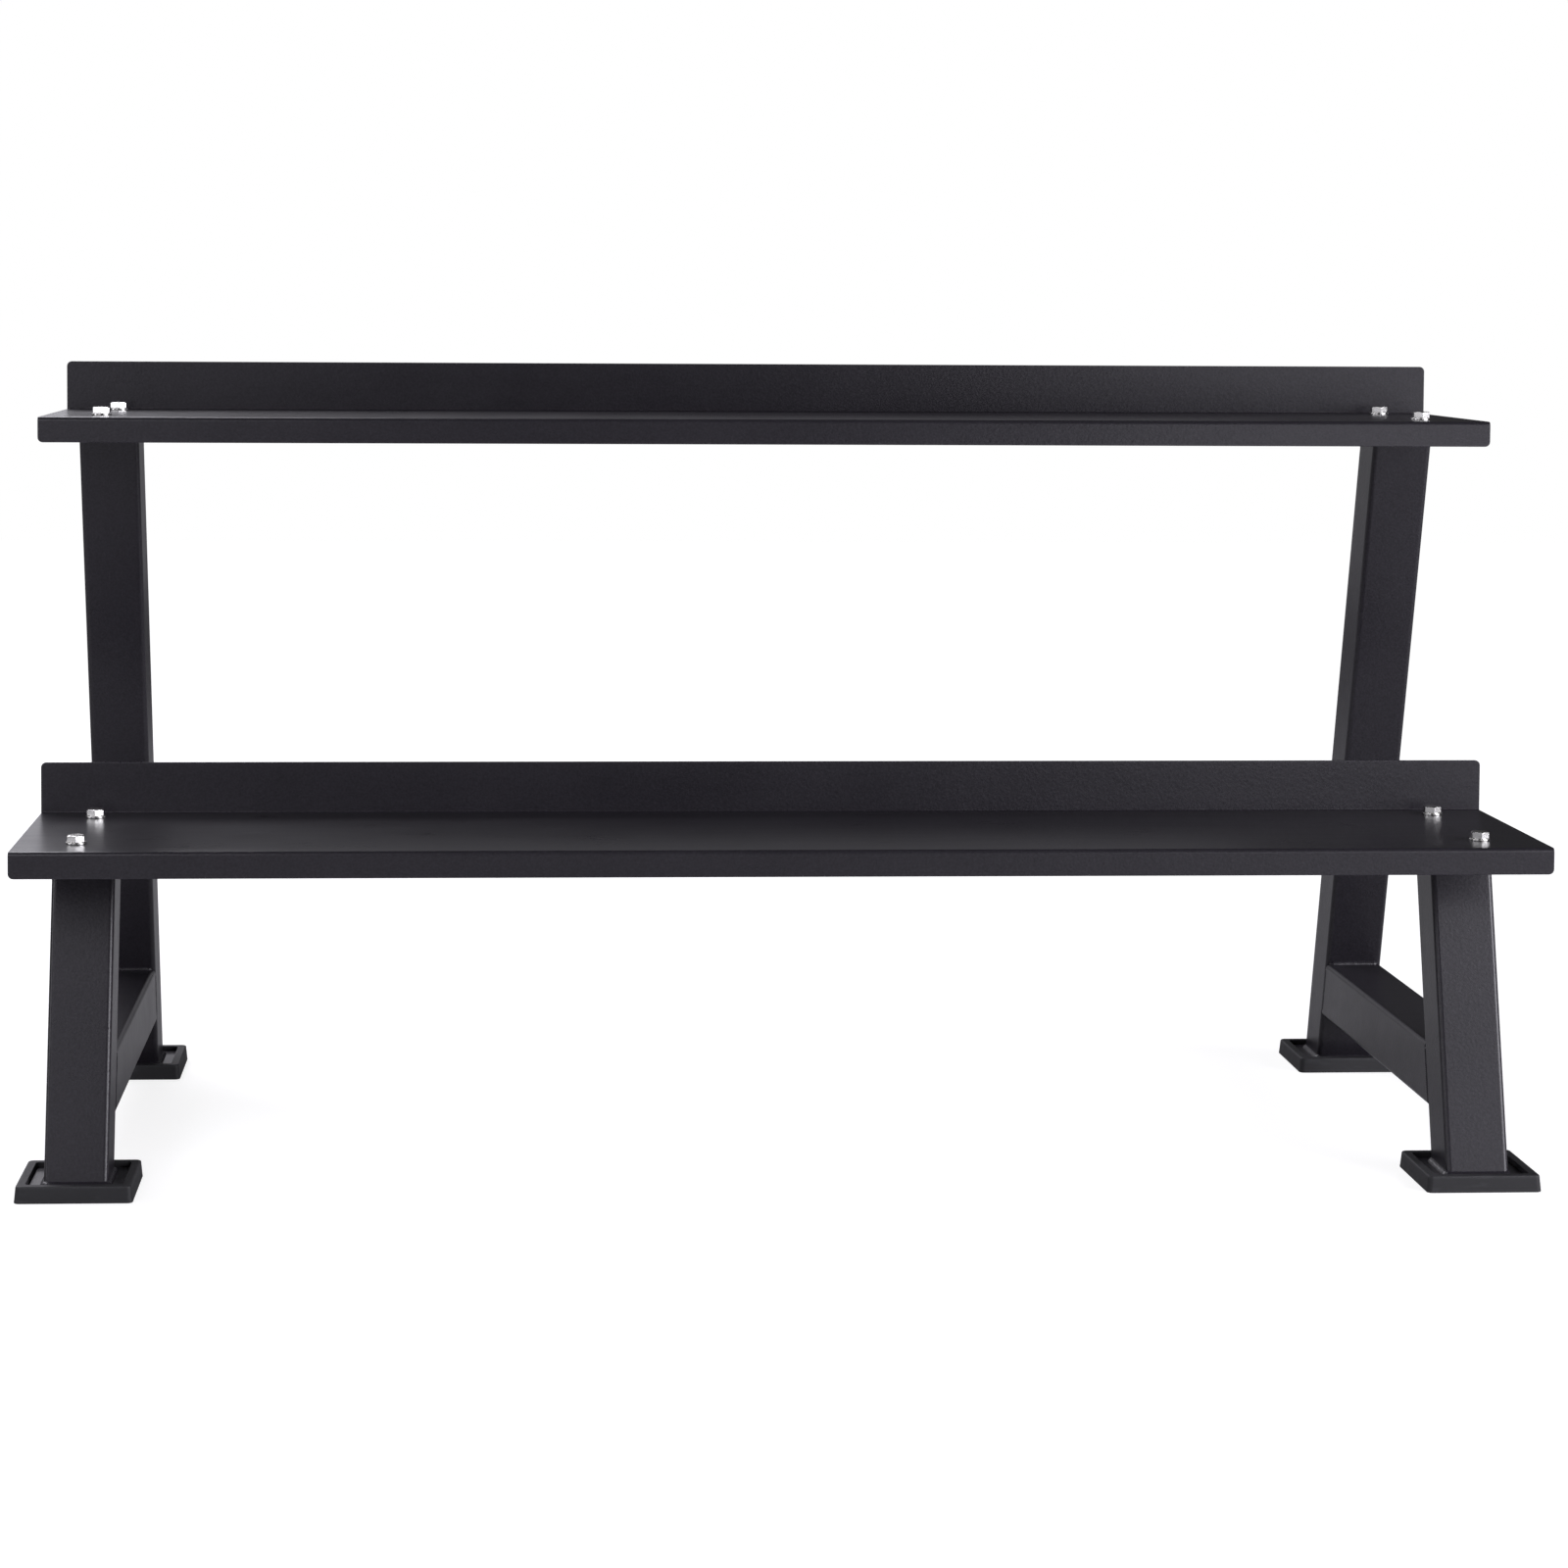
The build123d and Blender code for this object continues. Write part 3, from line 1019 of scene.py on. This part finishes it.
def stretcher_beads(shape, line, facing, low, high, sizes):
    """The beads where a stretcher's end meets the leg (facing 1) or the post (facing -1)."""
    away = Vector((0, facing, 0))
    width = line.side / 2 - sizes.tube_corner + BEAD_LAP
    count = round(2 * width / BEAD_STEP)
    for height, up in ((high, 1), (low, -1)):
        face = line.at(height) + away * line.depth / 2
        run = [face + Vector((width * (2 * k / count - 1), 0, 0)) for k in range(count + 1)]
        stations = [(root, away, line.axis * up) for root in run]
        bead(shape, stations, sizes.weld, 90, sizes.ripple, closed=False)
    inset = line.side / 2 - SEAM_REACH + SEAM_OVERHANG
    bottom = low + sizes.tube_corner - BEAD_LAP
    top = high - sizes.tube_corner + BEAD_LAP
    count = round((top - bottom) / BEAD_STEP)
    for side in (-1, 1):
        outwards = Vector((side, 0, 0))
        stations = []
        for k in range(count + 1):
            face = line.at(bottom + (top - bottom) * k / count) + away * line.depth / 2
            stations.append((face + outwards * inset, away, outwards))
        bead(shape, stations, SEAM_REACH, 180, sizes.ripple, closed=False)


def frame_welds(side, sizes):
    """All the beads of one side frame."""
    shape = Shape()
    low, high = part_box(f"{side}_stretcher")
    for line, facing in zip(side_tubes(side), (1, -1)):
        ring_bead(shape, line, line.start.z, 1, sizes)
        ring_bead(shape, line, line.end.z, -1, sizes)
        stretcher_beads(shape, line, facing, low.z, high.z, sizes)
    return shape.piece(f"{side}_frame_welds", "powder_coat")


# Stage


AIM = Vector((0.0, 0.0, 0.4))
LAMP_DISTANCE = 3.4
# Lamps all round, aimed at the middle: turn and rise in degrees, size in metres, watts
LAMPS = {
    "front_right": (57, 14, (2.0, 2.0), 82.0),
    "front_left": (-30, 14, (2.0, 2.0), 8.8),
    "left": (-70, 12, (1.1, 1.6), 13.0),
    "rear_left_high": (-140, 42, (2.4, 1.8), 62.0),
    "rear_left": (-147, 14, (2.0, 2.0), 4.0),
    "rear": (177, 14, (2.0, 2.0), 2.7),
}
# Lamps for one part of the rack or floor: place, aim and size in metres, watts
CLOSE_LAMPS = {
    "rear_left_low": ((-1.15, 3.2, 0.85), (-0.4, 0.0, 0.7), (0.9, 0.5), 1.3),
    "front_right_low": ((1.3, -3.4, 0.5), (0.6, -0.3, 0.4), (0.8, 0.7), 3.8),
    "floor_right": ((1.7, -2.7, 1.2), (1.3, -2.6, 0.0), (1.2, 1.2), 8.0),
    "floor_left": ((-1.3, -2.0, 1.6), (-1.0, -1.9, 0.0), (1.0, 1.0), 9.2),
}


def round_the_rack(turn, rise):
    """A lamp's place: turn from the front towards +X, and rise, in degrees."""
    turn, rise = math.radians(turn), math.radians(rise)
    level = math.cos(rise)
    direction = Vector((math.sin(turn) * level, -math.cos(turn) * level, math.sin(rise)))
    return AIM + direction * LAMP_DISTANCE


def softbox(name, place, aim, size, power, colour):
    """A soft rectangular lamp, out of the camera's sight."""
    lamp = bpy.data.lights.new(f"lamp_{name}", "AREA")
    lamp.shape = "RECTANGLE"
    lamp.size, lamp.size_y = size
    lamp.energy = power
    lamp.color = colour
    holder = bpy.data.objects.new(f"lamp_{name}", lamp)
    holder.location = place
    holder.rotation_euler = (aim - place).to_track_quat("-Z", "Y").to_euler()
    holder.visible_camera = False
    bpy.context.scene.collection.objects.link(holder)


def room(strength):
    """A white background behind the rack, and a faint light on it from all round."""
    world = bpy.data.worlds.new("plain_room")
    world.use_nodes = True
    wiring = Wiring(world.node_tree)
    seen = wiring.node("ShaderNodeBackground", sockets={"Color": WHITE, "Strength": 1.0})
    given = wiring.node("ShaderNodeBackground", sockets={"Color": WHITE, "Strength": strength})
    direct = wiring.node("ShaderNodeLightPath", output="Is Camera Ray")
    either = wiring.node("ShaderNodeMixShader", sockets={0: direct, 1: given, 2: seen})
    wiring.node("ShaderNodeOutputWorld", sockets={"Surface": either})
    bpy.context.scene.world = world


def pale_floor(colours):
    """A plain pale floor with a painted glow for the camera, weaker near the rack so the floor is a
    little darker under it, that runs out into white.
    """
    paint = Finish("pale_floor")
    base = paint.node("ShaderNodeBsdfDiffuse", sockets={"Color": tuple(colours.floor)})
    away = paint.node(
        "ShaderNodeVectorMath",
        {"operation": "LENGTH"},
        {0: paint.place},
        output="Value",
    )
    # Painted glow, seen only by the camera: weaker near the rack, full white further out
    strength = 0.8 + 0.2 * paint.ramp(away, 0.9, 3.2)
    glow = paint.node("ShaderNodeEmission", sockets={"Color": WHITE, "Strength": strength})
    both = paint.node("ShaderNodeAddShader", sockets={0: base, 1: glow})
    seen = paint.node("ShaderNodeLightPath", output="Is Camera Ray")
    surface = paint.node("ShaderNodeMixShader", sockets={0: seen, 1: base, 2: both})
    paint.node("ShaderNodeOutputMaterial", sockets={"Surface": surface})
    mesh = bmesh.new()
    corners = [
        Vector((x * FLOOR_REACH, y * FLOOR_REACH, CAD_BOX[0].z))
        for x, y in ((-1, -1), (1, -1), (1, 1), (-1, 1))
    ]
    mesh.faces.new([mesh.verts.new(corner) for corner in corners])
    data = bpy.data.meshes.new("floor")
    mesh.to_mesh(data)
    mesh.free()
    data.materials.append(paint.material)
    floor = bpy.data.objects.new("floor", data)
    bpy.context.scene.collection.objects.link(floor)


def camera(settings):
    """The camera, level but for a small tilt, turn and roll."""
    lens = bpy.data.cameras.new("camera")
    lens.sensor_fit = "HORIZONTAL"
    lens.sensor_width = 36
    lens.lens = settings.lens
    lens.shift_x, lens.shift_y = settings.camera_shift
    lens.clip_end = 50
    holder = bpy.data.objects.new("camera", lens)
    down, turn, roll = settings.camera_turn
    look = Matrix.Rotation(-turn, 4, "Z") @ Matrix.Rotation(math.radians(90) - down, 4, "X")
    look = look @ Matrix.Rotation(roll, 4, "Z")
    holder.matrix_world = Matrix.Translation(Vector(settings.camera_place)) @ look
    bpy.context.scene.collection.objects.link(holder)
    bpy.context.scene.camera = holder


# Operators


class RACK_OT_shelves(bpy.types.Operator):
    """Builds the two folded sheet shelves"""

    bl_idname = "rack.shelves"
    bl_label = "Shelves"

    def execute(self, context):
        scene = context.scene
        for level in LEVELS:
            washer = scene.rack_fasteners.washer
            folded_shelf(level, scene.rack_shelf, scene.rack_frame.edge, washer)
        return {"FINISHED"}


class RACK_OT_tubes(bpy.types.Operator):
    """Builds the legs, posts and stretchers of both side frames"""

    bl_idname = "rack.tubes"
    bl_label = "Legs, Posts and Stretchers"

    def execute(self, context):
        sizes = context.scene.rack_frame
        for side in SIDES:
            leg, post = side_tubes(side)
            leaning_tube(f"{side}_front_leg", leg, sizes)
            leaning_tube(f"{side}_rear_post", post, sizes)
            stretcher_tube(f"{side}_stretcher", leg, post, sizes)
        return {"FINISHED"}


class RACK_OT_plates(bpy.types.Operator):
    """Builds the bracket plates under the shelves and the foot plates"""

    bl_idname = "rack.plates"
    bl_label = "Bracket and Foot Plates"

    def execute(self, context):
        scene = context.scene
        sizes = scene.rack_frame
        for side in SIDES:
            for level in LEVELS:
                bracket_plate(
                    f"{side}_{level}_bracket",
                    level,
                    sizes,
                    scene.rack_shelf.hole,
                    scene.rack_fasteners.washer,
                )
            for place in ("front", "rear"):
                foot_plate(f"{side}_{place}_foot_plate", sizes)
        return {"FINISHED"}


class RACK_OT_welds(bpy.types.Operator):
    """Lays the weld beads of both side frames"""

    bl_idname = "rack.welds"
    bl_label = "Weld Beads"

    def execute(self, context):
        for side in SIDES:
            frame_welds(side, context.scene.rack_frame)
        return {"FINISHED"}


class RACK_OT_feet(bpy.types.Operator):
    """Builds the four rubber feet"""

    bl_idname = "rack.feet"
    bl_label = "Rubber Feet"

    def execute(self, context):
        for side in SIDES:
            for place in ("front", "rear"):
                node = f"{side}_{place}_rubber_foot"
                rubber_foot(node, f"{side}_{place}_foot_plate", context.scene.rack_feet)
        return {"FINISHED"}


class RACK_OT_bolts(bpy.types.Operator):
    """Builds the eight bolts"""

    bl_idname = "rack.bolts"
    bl_label = "Bolts"

    def execute(self, context):
        for level in LEVELS:
            bolts(level, context.scene.rack_fasteners)
        return {"FINISHED"}


class RACK_OT_nuts(bpy.types.Operator):
    """Builds the eight nuts"""

    bl_idname = "rack.nuts"
    bl_label = "Nuts"

    def execute(self, context):
        for level in LEVELS:
            nuts(level, context.scene.rack_fasteners)
        return {"FINISHED"}


class RACK_OT_washers(bpy.types.Operator):
    """Builds the washers under the bolt heads and over the nuts"""

    bl_idname = "rack.washers"
    bl_label = "Washers"

    def execute(self, context):
        for level in LEVELS:
            for place in ("top", "under"):
                washers(f"{level}_{place}_washers", level, context.scene.rack_fasteners)
        return {"FINISHED"}


class RACK_OT_stage(bpy.types.Operator):
    """Lays the floor and sets up the lights and the camera"""

    bl_idname = "rack.stage"
    bl_label = "Floor, Lights and Camera"

    def execute(self, context):
        scene = context.scene
        scene.view_settings.view_transform = "Standard"
        pale_floor(scene.rack_colours)
        room(scene.rack_stage.room)
        colour = scene.rack_colours.lamps
        for name, (turn, rise, size, power) in LAMPS.items():
            softbox(name, round_the_rack(turn, rise), AIM, size, power, colour)
        for name, (place, aim, size, power) in CLOSE_LAMPS.items():
            softbox(name, Vector(place), Vector(aim), size, power, colour)
        camera(scene.rack_stage)
        return {"FINISHED"}


OPERATORS = (
    RACK_OT_shelves,
    RACK_OT_tubes,
    RACK_OT_plates,
    RACK_OT_welds,
    RACK_OT_feet,
    RACK_OT_bolts,
    RACK_OT_nuts,
    RACK_OT_washers,
    RACK_OT_stage,
)
SETTINGS = {
    "rack_shelf": ShelfSizes,
    "rack_frame": FrameSizes,
    "rack_fasteners": FastenerSizes,
    "rack_feet": FootSizes,
    "rack_colours": FinishColours,
    "rack_stage": StageSettings,
}


class RACK_PT_panel(bpy.types.Panel):
    """Lists the rack's sizes, colours and builders"""

    bl_idname = "RACK_PT_panel"
    bl_label = "Dumbbell Rack"
    bl_space_type = "VIEW_3D"
    bl_region_type = "UI"
    bl_category = "Dumbbell Rack"

    def draw(self, context):
        layout = self.layout
        for name, group in SETTINGS.items():
            box = layout.box()
            box.label(text=group.__doc__)
            for setting in group.__annotations__:
                box.prop(getattr(context.scene, name), setting)
        for operator in OPERATORS:
            layout.operator(operator.bl_idname)


def register():
    for group in SETTINGS.values():
        bpy.utils.register_class(group)
    for operator in OPERATORS:
        bpy.utils.register_class(operator)
    bpy.utils.register_class(RACK_PT_panel)
    for name, group in SETTINGS.items():
        setattr(bpy.types.Scene, name, PointerProperty(type=group))


def unregister():
    for name in SETTINGS:
        delattr(bpy.types.Scene, name)
    bpy.utils.unregister_class(RACK_PT_panel)
    for operator in reversed(OPERATORS):
        bpy.utils.unregister_class(operator)
    for group in reversed(SETTINGS.values()):
        bpy.utils.unregister_class(group)


def main():
    """Builds the whole rack and its stage."""
    register()
    for operator in OPERATORS:
        group, name = operator.bl_idname.split(".")
        getattr(getattr(bpy.ops, group), name)()


if __name__ == "__main__":
    main()
